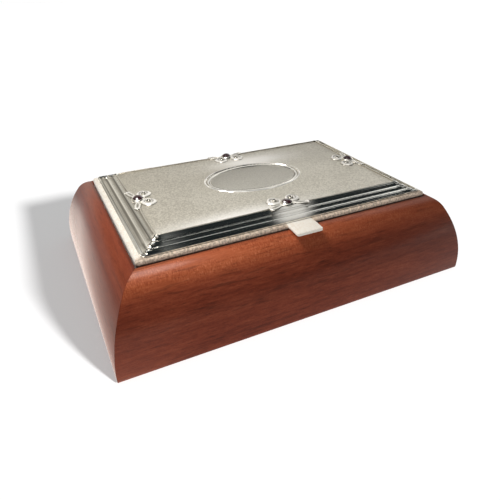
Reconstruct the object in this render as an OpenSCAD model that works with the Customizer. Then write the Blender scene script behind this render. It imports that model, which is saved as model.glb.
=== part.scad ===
// Jewellery box: a mitred wooden body with rounded sides, a lid set into its
// top on two small hinges, and an embossed silver plate on the lid.
// Millimetres. +Z is up, the front is at -Y, and the origin is at the centre
// of the underside.

/* [Body] */
// Length of the opening between the end rails, along X
opening_w = 181; // [150:1:220]
// Depth of the opening between the front and back rails, along Y
opening_d = 115.5; // [100:0.5:150]
// Height of the rails' inner top edge above the ground
rail_top = 48; // [44:1:60]
// How far the rails stand out from the opening at their foot
rail_run = 19.7; // [18:0.1:24]
// Radius of the rail's shoulder, beside the lid
shoulder_r = 13.7; // [10:0.1:15]
// Slope in degrees at which the shoulder starts beside the lid
shoulder_slope = 13.4; // [8:0.1:20]
// Height at which the outer face stands upright
foot_h = 3; // [2:0.5:6]

/* [Base] */
// Thickness of the felt under the base
felt_t = 0.8; // [0.5:0.1:1.5]
// How far the felt stays back from the rails' outer edge
felt_inset = 1.6; // [1:0.1:4]
// Thickness of the base board
base_t = 4; // [3:0.5:6]
// Width of the rebate in the rails that takes the base board
rebate_w = 5; // [4:0.5:7]
// Number of screws along the front and back of the base board
base_screws_long = 3; // [2:1:5]
// Number of screws along each end of the base board
base_screws_short = 2; // [1:1:3]

/* [Lining] */
// Thickness of the lining boards on the walls
lining_t = 3; // [2:0.5:4]
// Thickness of the padded floor
floor_t = 2.5; // [1.5:0.5:4]
// Width of the bay that holds the ring rolls
ring_bay_w = 66; // [50:1:80]
// Width that each ring roll takes, front to back
ring_roll_w = 13.6; // [11:0.1:18]
// Height of a ring roll
ring_roll_h = 14; // [12:1:18]
// Height of the divider beside the ring rolls
divider_h = 22; // [16:1:28]
// Thickness of the divider
divider_t = 3; // [2:0.5:4]

/* [Lid] */
// Gap between the lid and the rails
lid_gap = 0.6; // [0.4:0.1:1]
// How far the lid's top stands above the rails
lid_rise = 2.4; // [1.8:0.1:3.5]
// Thickness of the lid board
board_t = 6; // [5:0.5:8]
// Thickness of the lid's cover
cover_t = 0.8; // [0.6:0.1:1.2]
// Thickness of the padded panel under the lid
lid_pad_t = 2.5; // [1.5:0.5:4]
// Width of the pull tab
tab_w = 16; // [12:0.5:24]
// Thickness of the pull tab
tab_t = 1.8; // [1.2:0.1:2.2]
// How far the pull tab stands out from the lid's front
tab_reach = 10; // [7:0.5:14]

/* [Silver plate] */
// Width of the cover left showing at each end of the plate
rim_end = 3.3; // [2.5:0.1:6]
// Width of the cover left showing at the plate's front and back
rim_front = 2.2; // [1.8:0.1:6]
// Thickness of the silver sheet
sheet_t = 0.6; // [0.4:0.1:0.8]
// Height of the plate's flat field above the lid
field_h = 4.6; // [3.8:0.1:6]
// Width of the moulded border
border_w = 10; // [8:0.5:12]
// Length of the oval panel
oval_w = 64; // [50:0.2:76]
// Depth of the oval panel
oval_d = 43; // [36:0.2:50]
// Width of the oval's raised band
oval_band = 4.2; // [2:0.2:5]
// Height of the oval's raised band
oval_rise = 0.7; // [0.4:0.1:1.2]
// Diameter of a stone
stone_d = 5.8; // [4:0.1:6.4]
// Diameter of a flower's large petals
petal_d = 10; // [7:0.2:11]
// Height of the large petals above the field
petal_rise = 1.2; // [0.6:0.1:1.6]
// Length of a flower's small leaves
leaf_l = 8.4; // [6:0.2:10]
// Width of the small leaves
leaf_w = 3.8; // [2.6:0.2:4.6]

/* [Hinges] */
// Length of a hinge
hinge_l = 20; // [16:1:26]
// Distance from the lid's end to a hinge's centre
hinge_inset = 30; // [20:1:40]
// Thickness of a hinge leaf
leaf_t = 0.9; // [0.7:0.1:1.1]
// Height of the leaf on the back rail, below the pin
rail_leaf_h = 11; // [9:0.5:13]
// Height of the leaf on the lid, below the pin
lid_leaf_h = 5.2; // [4.6:0.1:5.6]
// Outer radius of the hinge knuckles
knuckle_r = 1.5; // [1.3:0.1:1.7]
// Radius of the hinge pin
pin_r = 0.7; // [0.6:0.05:0.8]

/* [Hidden] */

$fn = 96;
// one overrun for every cut that has to pass a face
over = 1;
// clearance of a glued or screwed fit
fit = 0.02;
// clearance around a stone, a tab or a pad in its place
slack = 0.1;

// heights, from the ground up
base_top = felt_t + base_t;
floor_top = base_top + floor_t;
lid_top = rail_top + lid_rise;
board_top = lid_top - cover_t;
board_bottom = board_top - board_t;
lid_bottom = board_bottom - cover_t;
seat_gap = 0.3;
lining_top = lid_bottom - seat_gap;

// lid and plate in plan
lid_w = opening_w - 2 * lid_gap;
lid_d = opening_d - 2 * lid_gap;
board_w = lid_w - 2 * cover_t;
board_d = lid_d - 2 * cover_t;
plate_w = lid_w - 2 * rim_end;
plate_d = lid_d - 2 * rim_front;

// inside of the linings
bay_w = opening_w - 2 * lining_t;
bay_d = opening_d - 2 * lining_t;
divider_x = -bay_w / 2 + ring_bay_w;

// centre of the shoulder's curve in the rail's section, in the section's own
// plane, where x runs out from the opening and y up from the ground
shoulder_c = [-shoulder_r * sin(shoulder_slope), rail_top - shoulder_r * cos(shoulder_slope)];
// the long side curve touches the shoulder's from outside and stands upright
// at the foot, which gives its radius and its centre
side_run = rail_run - shoulder_c.x;
side_climb = shoulder_c.y - foot_h;
side_r = (side_run ^ 2 + side_climb ^ 2 - shoulder_r ^ 2) / (2 * (side_run - shoulder_r));
side_c = [rail_run - side_r, foot_h];

// mitre splines
spline_w = 9;
spline_t = 2.4;
spline_h = 24;
spline_lift = 2;
spline_low = base_top + spline_lift;
spline_out_share = 0.3;

// base screws
base_screw_r = 1.1;
base_screw_head_r = 2;
base_screw_l = 12;

// ring rolls
roll_gap = 0.4;
ring_rolls_n = max(1, floor(bay_d / ring_roll_w));
roll_pitch = bay_d / ring_rolls_n;
roll_w = roll_pitch - roll_gap;

// lid cover, pad and tab
cover_return = 12;
lid_pad_gap = 1.6;
tab_tongue = 14;

// hinges
leaf_gap = 0.2;
knuckle_gap = 0.15;
pin_gap = 0.04;
knuckle_share = 0.36;
pin_y = opening_d / 2 - leaf_gap / 2;
pin_z = lid_top - knuckle_r;
hinge_x = lid_w / 2 - hinge_inset;
knuckle_l = hinge_l * knuckle_share;
end_knuckle_l = (hinge_l - knuckle_l) / 2 - knuckle_gap;
leaf_screw_r = 0.6;
leaf_screw_head_r = 1.15;
leaf_screw_l = 4.6;
leaf_screw_x_share = 0.3;
lid_screw_drop = 3.1;
rail_screw_drop = 4.6;

// border of the plate: breaks of its section as shares of the border's width
// and of the field's height, from the outer edge inwards, each with the bulge
// of the stretch that follows it as a share of that stretch's length
border_shares = [
    [0.00, 0.00, 0.00],
    [0.00, 0.09, 0.06],
    [0.15, 0.12, 0.00],
    [0.16, 0.12, 0.09],
    [0.38, 0.30, 0.00],
    [0.44, 0.30, 0.14],
    [0.70, 0.63, 0.00],
    [0.76, 0.63, 0.18],
    [1.00, 1.00, 0.00],
];
border_steps = 6;

oval_steps = 72;

// flowers
collar_w = 0.5;
collar_rise = 1.5;
collar_r = stone_d / 2 + slack + collar_w;
stone_seat = 0.5;
stone_crown = 1.5;
stone_girdle = 1.1;
flower_in = 3.2;
petal_angles = [41, 139];
leaf_angles = [-19, 199];
petal_lap = 0.5;
petal_sink = 0.5;
leaf_rise = 0.9;
leaf_steps = 12;
tendril_r = 0.45;
tendril_sink = 0.12;
tendril_bend_r = 45;
tendril_turn = 24;
tendril_out = 3;

// a box centred on the Z axis, from low to high
module slab(w, d, low, high) {
    translate([-w / 2, -d / 2, low])
        cube([w, d, high - low]);
}

// a bar along X from one end to the other, round about the X axis
module rod(r, from, to) {
    translate([from, 0, 0])
        rotate([0, 90, 0])
            cylinder(h = to - from, r = r);
}

// a countersunk screw that points up, with the face of its head at the origin
module screw(r, head_r, l, grow = 0) {
    cylinder(h = l + grow, r = r + grow);
    cylinder(h = head_r - r, r1 = head_r + grow, r2 = r + grow);
}

// a board with a rounded top edge, standing on low, its length along X
module round_board(l, t, low, high) {
    translate([-l / 2, 0, 0])
        rotate([90, 0, 90])
            linear_extrude(l)
                intersection() {
                    translate([-t / 2, low])
                        square([t, high - low]);
                    union() {
                        translate([-t / 2, low])
                            square([t, high - low - t / 2]);
                        translate([0, high - t / 2])
                            circle(d = t);
                    }
                }
}

// the rail's section: x runs out from the opening and y up from the ground
module rail_section() {
    to_shoulder = (shoulder_c - side_c) / (side_r - shoulder_r);
    far = 2 * side_r;
    intersection() {
        translate([0, felt_t])
            square([rail_run, rail_top - felt_t]);
        union() {
            translate(shoulder_c)
                circle(shoulder_r);
            intersection() {
                translate(side_c)
                    circle(side_r);
                polygon([side_c, side_c + far * to_shoulder, [far, -far], [side_c.x, -far]]);
            }
        }
    }
}

// a rail for the side at -Y of an opening that is l long, mitred at both ends
module rail(l) {
    deep = rail_run + over;
    intersection() {
        rotate([90, 0, -90])
            linear_extrude(l + 2 * deep, center = true)
                rail_section();
        linear_extrude(rail_top + over)
            polygon([[-l / 2, 0], [l / 2, 0], [l / 2 + deep, -deep], [-l / 2 - deep, -deep]]);
    }
}

// what is cut out of every rail
module rail_cuts() {
    slab(opening_w + 2 * rebate_w, opening_d + 2 * rebate_w, -over, base_top);
    splines(fit);
    base_screw_set(fit);
}

module splines(grow = 0) {
    out = rail_run * spline_out_share;
    for (sx = [-1, 1], sy = [-1, 1])
        translate([sx * (opening_w / 2 + out), sy * (opening_d / 2 + out), 0])
            rotate([0, 0, -45 * sx * sy])
                translate([0, 0, spline_low])
                    slab(spline_w + 2 * grow, spline_t + 2 * grow, -grow, spline_h + grow);
}

module base_screw_set(grow = 0) {
    x = opening_w / 2 + rebate_w / 2;
    y = opening_d / 2 + rebate_w / 2;
    long_pitch = opening_w / base_screws_long;
    short_pitch = opening_d / base_screws_short;
    for (i = [0 : base_screws_long - 1], s = [-1, 1])
        translate([(i + 0.5) * long_pitch - opening_w / 2, s * y, felt_t])
            screw(base_screw_r, base_screw_head_r, base_screw_l, grow);
    for (i = [0 : base_screws_short - 1], s = [-1, 1])
        translate([s * x, (i + 0.5) * short_pitch - opening_d / 2, felt_t])
            screw(base_screw_r, base_screw_head_r, base_screw_l, grow);
}

module front_rail() {
    color("sienna")
        difference() {
            translate([0, -opening_d / 2, 0])
                rail(opening_w);
            rail_cuts();
        }
}

module back_rail() {
    color("sienna")
        difference() {
            translate([0, opening_d / 2, 0])
                rotate([0, 0, 180])
                    rail(opening_w);
            rail_cuts();
            for (side = [-1, 1])
                at_hinge(side) {
                    // mortise for the leaf
                    translate([0, leaf_gap / 2 + leaf_t / 2 - over / 2, 0])
                        slab(hinge_l + 2 * slack, leaf_t + over, -rail_leaf_h - slack, knuckle_r + over);
                    knuckle_room();
                    leaf_screws(1, rail_screw_drop, fit);
                }
        }
}

// a rail at one end of the box: side is -1 for the left and 1 for the right
module end_rail(side) {
    color("sienna")
        difference() {
            translate([side * opening_w / 2, 0, 0])
                rotate([0, 0, 90 * side])
                    rail(opening_d);
            rail_cuts();
        }
}

module mitre_splines() {
    color("burlywood")
        splines();
}

module base_board() {
    color("burlywood")
        difference() {
            slab(opening_w + 2 * (rebate_w - slack), opening_d + 2 * (rebate_w - slack), felt_t, base_top);
            base_screw_set(fit);
        }
}

module base_felt() {
    out = 2 * (rail_run - felt_inset);
    color("#3a2e28")
        slab(opening_w + out, opening_d + out, 0, felt_t);
}

module base_screws() {
    color("goldenrod")
        base_screw_set();
}

// a lining board on the front or back wall: side is -1 or 1
module long_lining(side) {
    color("ivory")
        translate([0, side * (opening_d - lining_t) / 2, 0])
            round_board(bay_w, lining_t, base_top, lining_top);
}

// a lining board on an end wall: side is -1 or 1
module end_lining(side) {
    color("ivory")
        translate([side * (opening_w - lining_t) / 2, 0, 0])
            rotate([0, 0, 90])
                round_board(opening_d, lining_t, base_top, lining_top);
}

module floor_pad() {
    color("ivory")
        slab(bay_w - 2 * slack, bay_d - 2 * slack, base_top, floor_top);
}

module divider() {
    color("ivory")
        translate([divider_x + divider_t / 2, 0, 0])
            rotate([0, 0, 90])
                round_board(bay_d - 2 * slack, divider_t, floor_top, floor_top + divider_h);
}

module ring_rolls() {
    color("ivory")
        for (i = [0 : ring_rolls_n - 1])
            translate([divider_x - ring_bay_w / 2, (i + 0.5) * roll_pitch - bay_d / 2, 0])
                round_board(ring_bay_w - 2 * slack, roll_w, floor_top, floor_top + ring_roll_h);
}

// places its children at a hinge's pin: side is -1 or 1
module at_hinge(side) {
    translate([side * hinge_x, pin_y, pin_z])
        children();
}

// room for both sets of knuckles, open at the top
module knuckle_room() {
    r = knuckle_r + slack + knuckle_gap;
    translate([-hinge_l / 2 - slack, -r, -r])
        cube([hinge_l + 2 * slack, 2 * r, 2 * r + over]);
}

// the screws of one leaf: way is 1 where they point at +Y and -1 at -Y
module leaf_screws(way, drop, grow = 0) {
    for (s = [-1, 1])
        translate([s * hinge_l * leaf_screw_x_share, way * leaf_gap / 2, -drop])
            rotate([-90 * way, 0, 0])
                screw(leaf_screw_r, leaf_screw_head_r, leaf_screw_l, grow);
}

// the middle knuckle, or both end ones, grown by grow all round
module middle_knuckle(grow = 0) {
    rod(knuckle_r + grow, -knuckle_l / 2 - grow, knuckle_l / 2 + grow);
}

module end_knuckles(grow = 0) {
    for (s = [0, 1])
        mirror([s, 0, 0])
            rod(knuckle_r + grow, hinge_l / 2 - end_knuckle_l - grow, hinge_l / 2 + grow);
}

// the flat of a leaf that hangs h below the pin: way is 1 at +Y and -1 at -Y
module leaf_flat(way, h) {
    translate([0, way * (leaf_gap + leaf_t) / 2, 0])
        slab(hinge_l, leaf_t, -h, 0);
}

module hinge_rail_leaf(side) {
    color("goldenrod")
        at_hinge(side)
            difference() {
                union() {
                    leaf_flat(1, rail_leaf_h);
                    end_knuckles();
                }
                middle_knuckle(knuckle_gap);
                rod(pin_r + fit, -hinge_l, hinge_l);
                leaf_screws(1, rail_screw_drop, fit);
            }
}

module hinge_lid_leaf(side) {
    color("goldenrod")
        at_hinge(side)
            difference() {
                union() {
                    leaf_flat(-1, lid_leaf_h);
                    middle_knuckle();
                }
                end_knuckles(knuckle_gap);
                rod(pin_r + pin_gap, -hinge_l, hinge_l);
                leaf_screws(-1, lid_screw_drop, fit);
            }
}

module hinge_pin(side) {
    color("gold")
        at_hinge(side)
            rod(pin_r, -hinge_l / 2, hinge_l / 2);
}

module rail_leaf_screws() {
    color("gold")
        for (side = [-1, 1])
            at_hinge(side)
                leaf_screws(1, rail_screw_drop);
}

module lid_leaf_screws() {
    color("gold")
        for (side = [-1, 1])
            at_hinge(side)
                leaf_screws(-1, lid_screw_drop);
}

// what is cut out of the lid for its hinges and its tab
module lid_cuts() {
    for (side = [-1, 1])
        at_hinge(side) {
            translate([0, -leaf_gap / 2 - leaf_t / 2 + over / 2, 0])
                slab(hinge_l + 2 * slack, leaf_t + over, -lid_leaf_h - slack, knuckle_r + over);
            knuckle_room();
            leaf_screws(-1, lid_screw_drop, fit);
        }
    tab_shape(slack);
}

// the tab with its tongue, which lies in the lid's top
module tab_shape(grow = 0) {
    l = tab_reach + tab_tongue;
    translate([0, -lid_d / 2 - tab_reach + l / 2, 0])
        slab(tab_w + 2 * grow, l + 2 * grow, lid_top - tab_t, lid_top + grow);
}

module lid_board() {
    color("burlywood")
        difference() {
            slab(board_w, board_d, board_bottom, board_top);
            lid_cuts();
        }
}

module lid_cover() {
    window_w = board_w - 2 * cover_return;
    window_d = board_d - 2 * cover_return;
    color("ivory")
        difference() {
            slab(lid_w, lid_d, lid_bottom, lid_top);
            slab(board_w, board_d, board_bottom, board_top);
            slab(window_w, window_d, lid_bottom - over, board_bottom + over);
            lid_cuts();
        }
}

module lid_pad() {
    out = 2 * lid_pad_gap;
    window_w = board_w - 2 * (cover_return + slack);
    window_d = board_d - 2 * (cover_return + slack);
    color("ivory") {
        slab(bay_w - out, bay_d - out, lid_bottom - lid_pad_t, lid_bottom);
        slab(window_w, window_d, lid_bottom - lid_pad_t / 2, board_bottom);
    }
}

module pull_tab() {
    color("ivory")
        tab_shape();
}

// points from a towards b, bowed out by bulge times their distance
function stretch(a, b, bulge) =
    let (d = b - a, n = bulge == 0 ? 1 : border_steps)
        [for (i = [0 : n - 1])
            let (t = i / n)
                a + t * d + 4 * bulge * t * (1 - t) * [-d.y, d.x]];

border_breaks = [for (s = border_shares) [s[0] * border_w, s[1] * field_h]];
border_points = [
    for (i = [0 : len(border_shares) - 2])
        each stretch(border_breaks[i], border_breaks[i + 1], border_shares[i][2]),
    border_breaks[len(border_shares) - 1],
];

// the plate's section across a span, sunk by sink on every side
module plate_section(span, sink, low) {
    edge = span / 2 - sink;
    rising = [for (p = border_points) if (p.y - sink > low) [p.x - edge, p.y - sink]];
    falling = [for (i = [len(rising) - 1 : -1 : 0]) [-rising[i].x, rising[i].y]];
    foot = rising[0].x;
    polygon(concat([[foot, low]], rising, falling, [[-foot, low]]));
}

// the plate as a solid block with its moulded border, standing on z = 0
module plate_block(sink, low) {
    intersection() {
        rotate([90, 0, 90])
            linear_extrude(plate_w, center = true)
                plate_section(plate_d, sink, low);
        rotate([90, 0, 0])
            linear_extrude(plate_d, center = true)
                plate_section(plate_w, sink, low);
    }
}

// an ellipse that is w long and d deep
module oval(w, d) {
    polygon([for (i = [0 : oval_steps - 1])
        let (a = 360 * i / oval_steps)
            [w / 2 * cos(a), d / 2 * sin(a)]]);
}

module oval_ring() {
    translate([0, 0, field_h - petal_sink])
        linear_extrude(oval_rise + petal_sink)
            difference() {
                oval(oval_w, oval_d);
                oval(oval_w - 2 * oval_band, oval_d - 2 * oval_band);
            }
}

// a low round dome that stands on the field
module petal() {
    r = (petal_d ^ 2 / 4 + petal_rise ^ 2) / (2 * petal_rise);
    intersection() {
        translate([0, 0, petal_rise - r])
            sphere(r);
        translate([0, 0, -petal_sink])
            cylinder(h = petal_rise + petal_sink + over, r = r);
    }
}

// a leaf with two pointed ends and a domed top
module leaf() {
    bow_r = (leaf_l ^ 2 + leaf_w ^ 2) / (4 * leaf_w);
    half_turn = asin(leaf_l / 2 / bow_r);
    dome_r = (leaf_l ^ 2 / 4 + leaf_rise ^ 2) / (2 * leaf_rise);
    bow = [for (i = [0 : leaf_steps - 1])
        let (a = half_turn * (2 * i / leaf_steps - 1))
            [bow_r * sin(a), leaf_w / 2 - bow_r * (1 - cos(a))]];
    intersection() {
        translate([0, 0, leaf_rise - dome_r])
            sphere(dome_r);
        translate([0, 0, -petal_sink])
            linear_extrude(leaf_rise + petal_sink + over)
                polygon(concat(bow, -bow));
    }
}

// a raised line that leaves the border and sweeps in to the flower
module tendril() {
    translate([tendril_bend_r * sin(tendril_turn) + collar_r, tendril_bend_r - tendril_out, -tendril_sink])
        rotate([0, 0, -90 - tendril_turn])
            rotate_extrude(angle = tendril_turn)
                translate([tendril_bend_r, 0])
                    circle(tendril_r);
}

// a flower with its centre at the origin and the plate's centre towards +Y
module flower() {
    translate([0, 0, -petal_sink])
        cylinder(h = collar_rise + petal_sink, r = collar_r);
    for (a = petal_angles)
        rotate([0, 0, a])
            translate([collar_r - petal_lap + petal_d / 2, 0, 0])
                petal();
    for (a = leaf_angles)
        rotate([0, 0, a])
            translate([collar_r - petal_lap + leaf_l / 2, 0, 0])
                leaf();
    for (s = [0, 1])
        mirror([s, 0, 0])
            tendril();
}

// places its children at a flower's centre, on the field: turn is 0 at the
// front, 90 at the right, 180 at the back and 270 at the left
module at_flower(turn) {
    from_centre = (turn % 180 == 0 ? plate_d : plate_w) / 2 - border_w - flower_in;
    rotate([0, 0, turn])
        translate([0, -from_centre, lid_top + field_h])
            children();
}

module plate_backing() {
    color("white")
        translate([0, 0, lid_top])
            plate_block(sheet_t + fit, 0);
}

module silver_plate() {
    color("silver")
        difference() {
            union() {
                translate([0, 0, lid_top])
                    difference() {
                        plate_block(0, 0);
                        plate_block(sheet_t, -over);
                    }
                translate([0, 0, lid_top])
                    oval_ring();
                for (turn = [0 : 90 : 270])
                    at_flower(turn)
                        flower();
            }
            for (turn = [0 : 90 : 270])
                at_flower(turn)
                    translate([0, 0, stone_seat])
                        cylinder(h = collar_rise + over, r = stone_d / 2 + slack);
        }
}

// a round stone with a domed top
module stone(turn) {
    r = (stone_d ^ 2 / 4 + stone_crown ^ 2) / (2 * stone_crown);
    color("#3a1418")
        at_flower(turn)
            translate([0, 0, stone_seat])
                intersection() {
                    cylinder(h = stone_girdle + stone_crown, d = stone_d);
                    translate([0, 0, stone_girdle + stone_crown - r])
                        sphere(r);
                }
}

front_rail();
back_rail();
end_rail(-1);  // left_rail
end_rail(1);  // right_rail
mitre_splines();
base_board();
base_felt();
base_screws();
long_lining(-1);  // front_lining
long_lining(1);  // back_lining
end_lining(-1);  // left_lining
end_lining(1);  // right_lining
floor_pad();
divider();
ring_rolls();
hinge_rail_leaf(-1);  // hinge_rail_leaf_left
hinge_rail_leaf(1);  // hinge_rail_leaf_right
hinge_pin(-1);  // hinge_pin_left
hinge_pin(1);  // hinge_pin_right
rail_leaf_screws();
hinge_lid_leaf(-1);  // hinge_lid_leaf_left
hinge_lid_leaf(1);  // hinge_lid_leaf_right
lid_leaf_screws();
lid_board();
lid_cover();
lid_pad();
pull_tab();
plate_backing();
silver_plate();
stone(0);  // stone_front
stone(90);  // stone_right
stone(180);  // stone_back
stone(270);  // stone_left
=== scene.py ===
import math
from contextlib import contextmanager

import bmesh
import bpy
from mathutils import Matrix, Vector


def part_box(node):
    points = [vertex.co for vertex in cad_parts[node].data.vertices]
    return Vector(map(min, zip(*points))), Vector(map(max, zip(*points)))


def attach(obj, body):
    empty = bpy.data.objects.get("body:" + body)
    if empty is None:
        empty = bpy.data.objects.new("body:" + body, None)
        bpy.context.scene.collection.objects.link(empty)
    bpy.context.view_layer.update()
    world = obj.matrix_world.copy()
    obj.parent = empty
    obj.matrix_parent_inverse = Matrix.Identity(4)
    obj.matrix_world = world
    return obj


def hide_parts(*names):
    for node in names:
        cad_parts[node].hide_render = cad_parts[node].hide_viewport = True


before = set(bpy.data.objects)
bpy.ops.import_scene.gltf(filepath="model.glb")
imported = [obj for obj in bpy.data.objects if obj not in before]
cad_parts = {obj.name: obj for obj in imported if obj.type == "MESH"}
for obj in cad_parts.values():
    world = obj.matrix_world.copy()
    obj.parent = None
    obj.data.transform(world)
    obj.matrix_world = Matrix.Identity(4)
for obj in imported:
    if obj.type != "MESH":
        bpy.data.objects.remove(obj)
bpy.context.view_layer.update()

MM = 0.001
DEGREE = math.pi / 180
QUARTER = math.pi / 2
# Measures that differ by less than this are the same
NEAR = 0.01 * MM

# Places that the frame gives
FELT_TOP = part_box("base_felt")[1].z
RAIL_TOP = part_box("front_rail")[1].z
OPEN_X = -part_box("left_rail")[1].x
OPEN_Y = -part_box("front_rail")[1].y
RAIL_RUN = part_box("front_rail")[1].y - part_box("front_rail")[0].y
BASE_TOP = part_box("base_board")[1].z
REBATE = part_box("base_board")[1].y - OPEN_Y
LID_LOW, LID_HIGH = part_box("lid_cover")
PLATE_LOW, PLATE_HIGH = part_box("silver_plate")
HINGE_LOW, HINGE_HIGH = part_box("hinge_pin_right")
PIN = (HINGE_LOW + HINGE_HIGH) / 2  # the middle of the right hinge's pin

# Rail section, as in the solids
SHOULDER_R = 13.7 * MM
SHOULDER_SLOPE = 13.4 * DEGREE
FOOT_H = 3 * MM

# Hinges: how far a leaf stands out behind the opening, and how far down from the
# pin the room for it reaches
LEAF_OUT = 1.0 * MM
RAIL_LEAF_DROP = 11.1 * MM
LID_LEAF_DROP = 5.3 * MM

# Plate: SHEET is its thickness, OVAL_SWELL the field's rise at the oval, and each flower's
# middle lies FLOWER_IN inside the field's edge
BORDER_W = 10 * MM
FIELD_Z = PLATE_LOW.z + 4.6 * MM
FIELD_X = PLATE_HIGH.x - BORDER_W
FIELD_Y = PLATE_HIGH.y - BORDER_W
SHEET = 0.5 * MM
OVAL_X = 32.2 * MM
OVAL_Y = 21.6 * MM
OVAL_SWELL = 0.8 * MM
FLOWER_IN = 3.2 * MM
STONE_R = 2.9 * MM
STONE_SEAT = 0.5 * MM


# Helpers for modelling

def clear_selection():
    """Leaves edit mode, with nothing selected."""
    if bpy.context.object and bpy.context.object.mode != "OBJECT":
        bpy.ops.object.mode_set(mode="OBJECT")
    bpy.ops.object.select_all(action="DESELECT")


def make_active(piece):
    clear_selection()
    piece.select_set(True)
    bpy.context.view_layer.objects.active = piece


@contextmanager
def editing(piece, select_mode=None):
    """Edit mode on the piece, with all of it selected."""
    make_active(piece)
    bpy.ops.object.mode_set(mode="EDIT")
    if select_mode:
        bpy.ops.mesh.select_mode(type=select_mode)
    bpy.ops.mesh.select_all(action="SELECT")
    yield
    bpy.ops.object.mode_set(mode="OBJECT")


def named(name):
    """The primitive that was just added, under its name, with its place in its mesh."""
    piece = bpy.context.object
    piece.name = name
    piece.data.name = name
    bpy.ops.object.transform_apply(location=True, rotation=True, scale=True)
    return piece


def block(name, low, high):
    """A box between two corners, to be shaped further."""
    clear_selection()
    low, high = Vector(low), Vector(high)
    bpy.ops.mesh.primitive_cube_add(size=1, location=(low + high) / 2, scale=high - low)
    return named(name)


def outline(name, points):
    """A flat face through the points."""
    clear_selection()
    bpy.ops.mesh.primitive_circle_add(vertices=len(points), radius=1, fill_type="NGON")
    piece = named(name)
    for vertex, point in zip(piece.data.vertices, points):
        vertex.co = point
    return piece


def close_seams(piece):
    """Joins corners that lie on each other and turns every face outwards."""
    with editing(piece):
        bpy.ops.mesh.remove_doubles(threshold=0.002 * MM)
        bpy.ops.mesh.normals_make_consistent(inside=False)


def extrude_all(piece, move):
    with editing(piece):
        bpy.ops.mesh.extrude_region_move(TRANSFORM_OT_translate={"value": move})
        bpy.ops.mesh.select_all(action="SELECT")
        bpy.ops.mesh.normals_make_consistent(inside=False)


def inset_steps(piece, steps, rise=0, open_top=False):
    """Lifts a flat piece by rise, then insets its face step by step.

    Each step is how far inwards and how far up, in millimetres. With open_top the last
    face is taken away."""
    with editing(piece, "FACE"):
        if rise:
            bpy.ops.mesh.extrude_region_move(TRANSFORM_OT_translate={"value": (0, 0, rise * MM)})
        for inwards, up in steps:
            bpy.ops.mesh.inset(thickness=inwards * MM, depth=up * MM)
        if open_top:
            bpy.ops.mesh.delete(type="FACE")


def spun(name, section, steps):
    """A closed section (out, up, in millimetres) turned round the Z axis."""
    piece = outline(name, [(out * MM, 0, up * MM) for out, up in section])
    with editing(piece):
        bpy.ops.mesh.delete(type="ONLY_FACE")
        bpy.ops.mesh.select_all(action="SELECT")
        bpy.ops.mesh.spin(steps=steps, angle=2 * math.pi, center=(0, 0, 0), axis=(0, 0, 1))
    close_seams(piece)
    return piece


def mark(piece, **masks):
    """Stores each mask, a number or a function of the place, for the material to read."""
    for name, value in masks.items():
        layer = piece.data.attributes.new(name, "FLOAT", "POINT")
        for vertex in piece.data.vertices:
            layer.data[vertex.index].value = value(vertex.co) if callable(value) else value


def cut(piece, point, normal, **settings):
    """Cuts through the piece along a plane."""
    with editing(piece):
        bpy.ops.mesh.bisect(plane_co=point, plane_no=normal, **settings)


def bevel_edges(piece, width, segments, wanted, **settings):
    """Rounds the edges whose two ends pass the test."""
    with editing(piece, "EDGE"):
        bpy.ops.mesh.select_all(action="DESELECT")
        mesh = bmesh.from_edit_mesh(piece.data)
        for edge in mesh.edges:
            if wanted(*(vertex.co for vertex in edge.verts)):
                edge.select_set(True)
        bmesh.update_edit_mesh(piece.data)
        bpy.ops.mesh.bevel(offset=width, segments=segments, affect="EDGES", **settings)


def every_edge(a, b):
    return True


def upright(a, b):
    return abs(a.z - b.z) > NEAR


def apply_modifier(piece, kind, **settings):
    make_active(piece)
    modifier = piece.modifiers.new(kind.lower(), kind)
    for key, value in settings.items():
        setattr(modifier, key, value)
    bpy.ops.object.modifier_apply(modifier=modifier.name)


def soften(piece, width, segments=2, angle=30 * DEGREE):
    """A small round on every edge that is sharper than the angle."""
    apply_modifier(piece, "BEVEL", width=width, segments=segments, limit_method="ANGLE",
                   angle_limit=angle)


def carve(piece, tool):
    """Cuts the tool's shape out of the piece and throws the tool away."""
    apply_modifier(piece, "BOOLEAN", operation="DIFFERENCE", object=tool, solver="EXACT")
    bpy.data.objects.remove(tool)


def smooth(piece, angle=35 * DEGREE):
    make_active(piece)
    bpy.ops.object.shade_smooth_by_angle(angle=angle)


def joined(name, pieces):
    clear_selection()
    for piece in pieces:
        piece.select_set(True)
    bpy.context.view_layer.objects.active = pieces[0]
    bpy.ops.object.join()
    return named(name)


def copied(piece, name, matrix):
    """A copy with its own mesh, moved by the matrix."""
    copy = piece.copy()
    copy.data = piece.data.copy()
    copy.name = name
    copy.data.name = name
    bpy.context.scene.collection.objects.link(copy)
    copy.data.transform(matrix)
    return copy


def dress(piece, body, slot, material, *nodes):
    """Gives a piece its body, finish and the nodes that it stands for. The slot is not used."""
    piece.data.materials.clear()
    piece.data.materials.append(material)
    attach(piece, body)
    if nodes:
        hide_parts(*nodes)


# Helpers for materials

class Wire:
    """A socket that takes part in Python sums; each sum adds a Math node."""

    def __init__(self, paint, socket):
        self.paint = paint
        self.socket = socket

    def _sum(self, operation, first, second):
        return self.paint.node("ShaderNodeMath", {"operation": operation}, {0: first, 1: second})

    def __add__(self, other):
        return self._sum("ADD", self, other)

    def __radd__(self, other):
        return self._sum("ADD", other, self)

    def __sub__(self, other):
        return self._sum("SUBTRACT", self, other)

    def __rsub__(self, other):
        return self._sum("SUBTRACT", other, self)

    def __mul__(self, other):
        return self._sum("MULTIPLY", self, other)

    def __rmul__(self, other):
        return self._sum("MULTIPLY", other, self)


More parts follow.
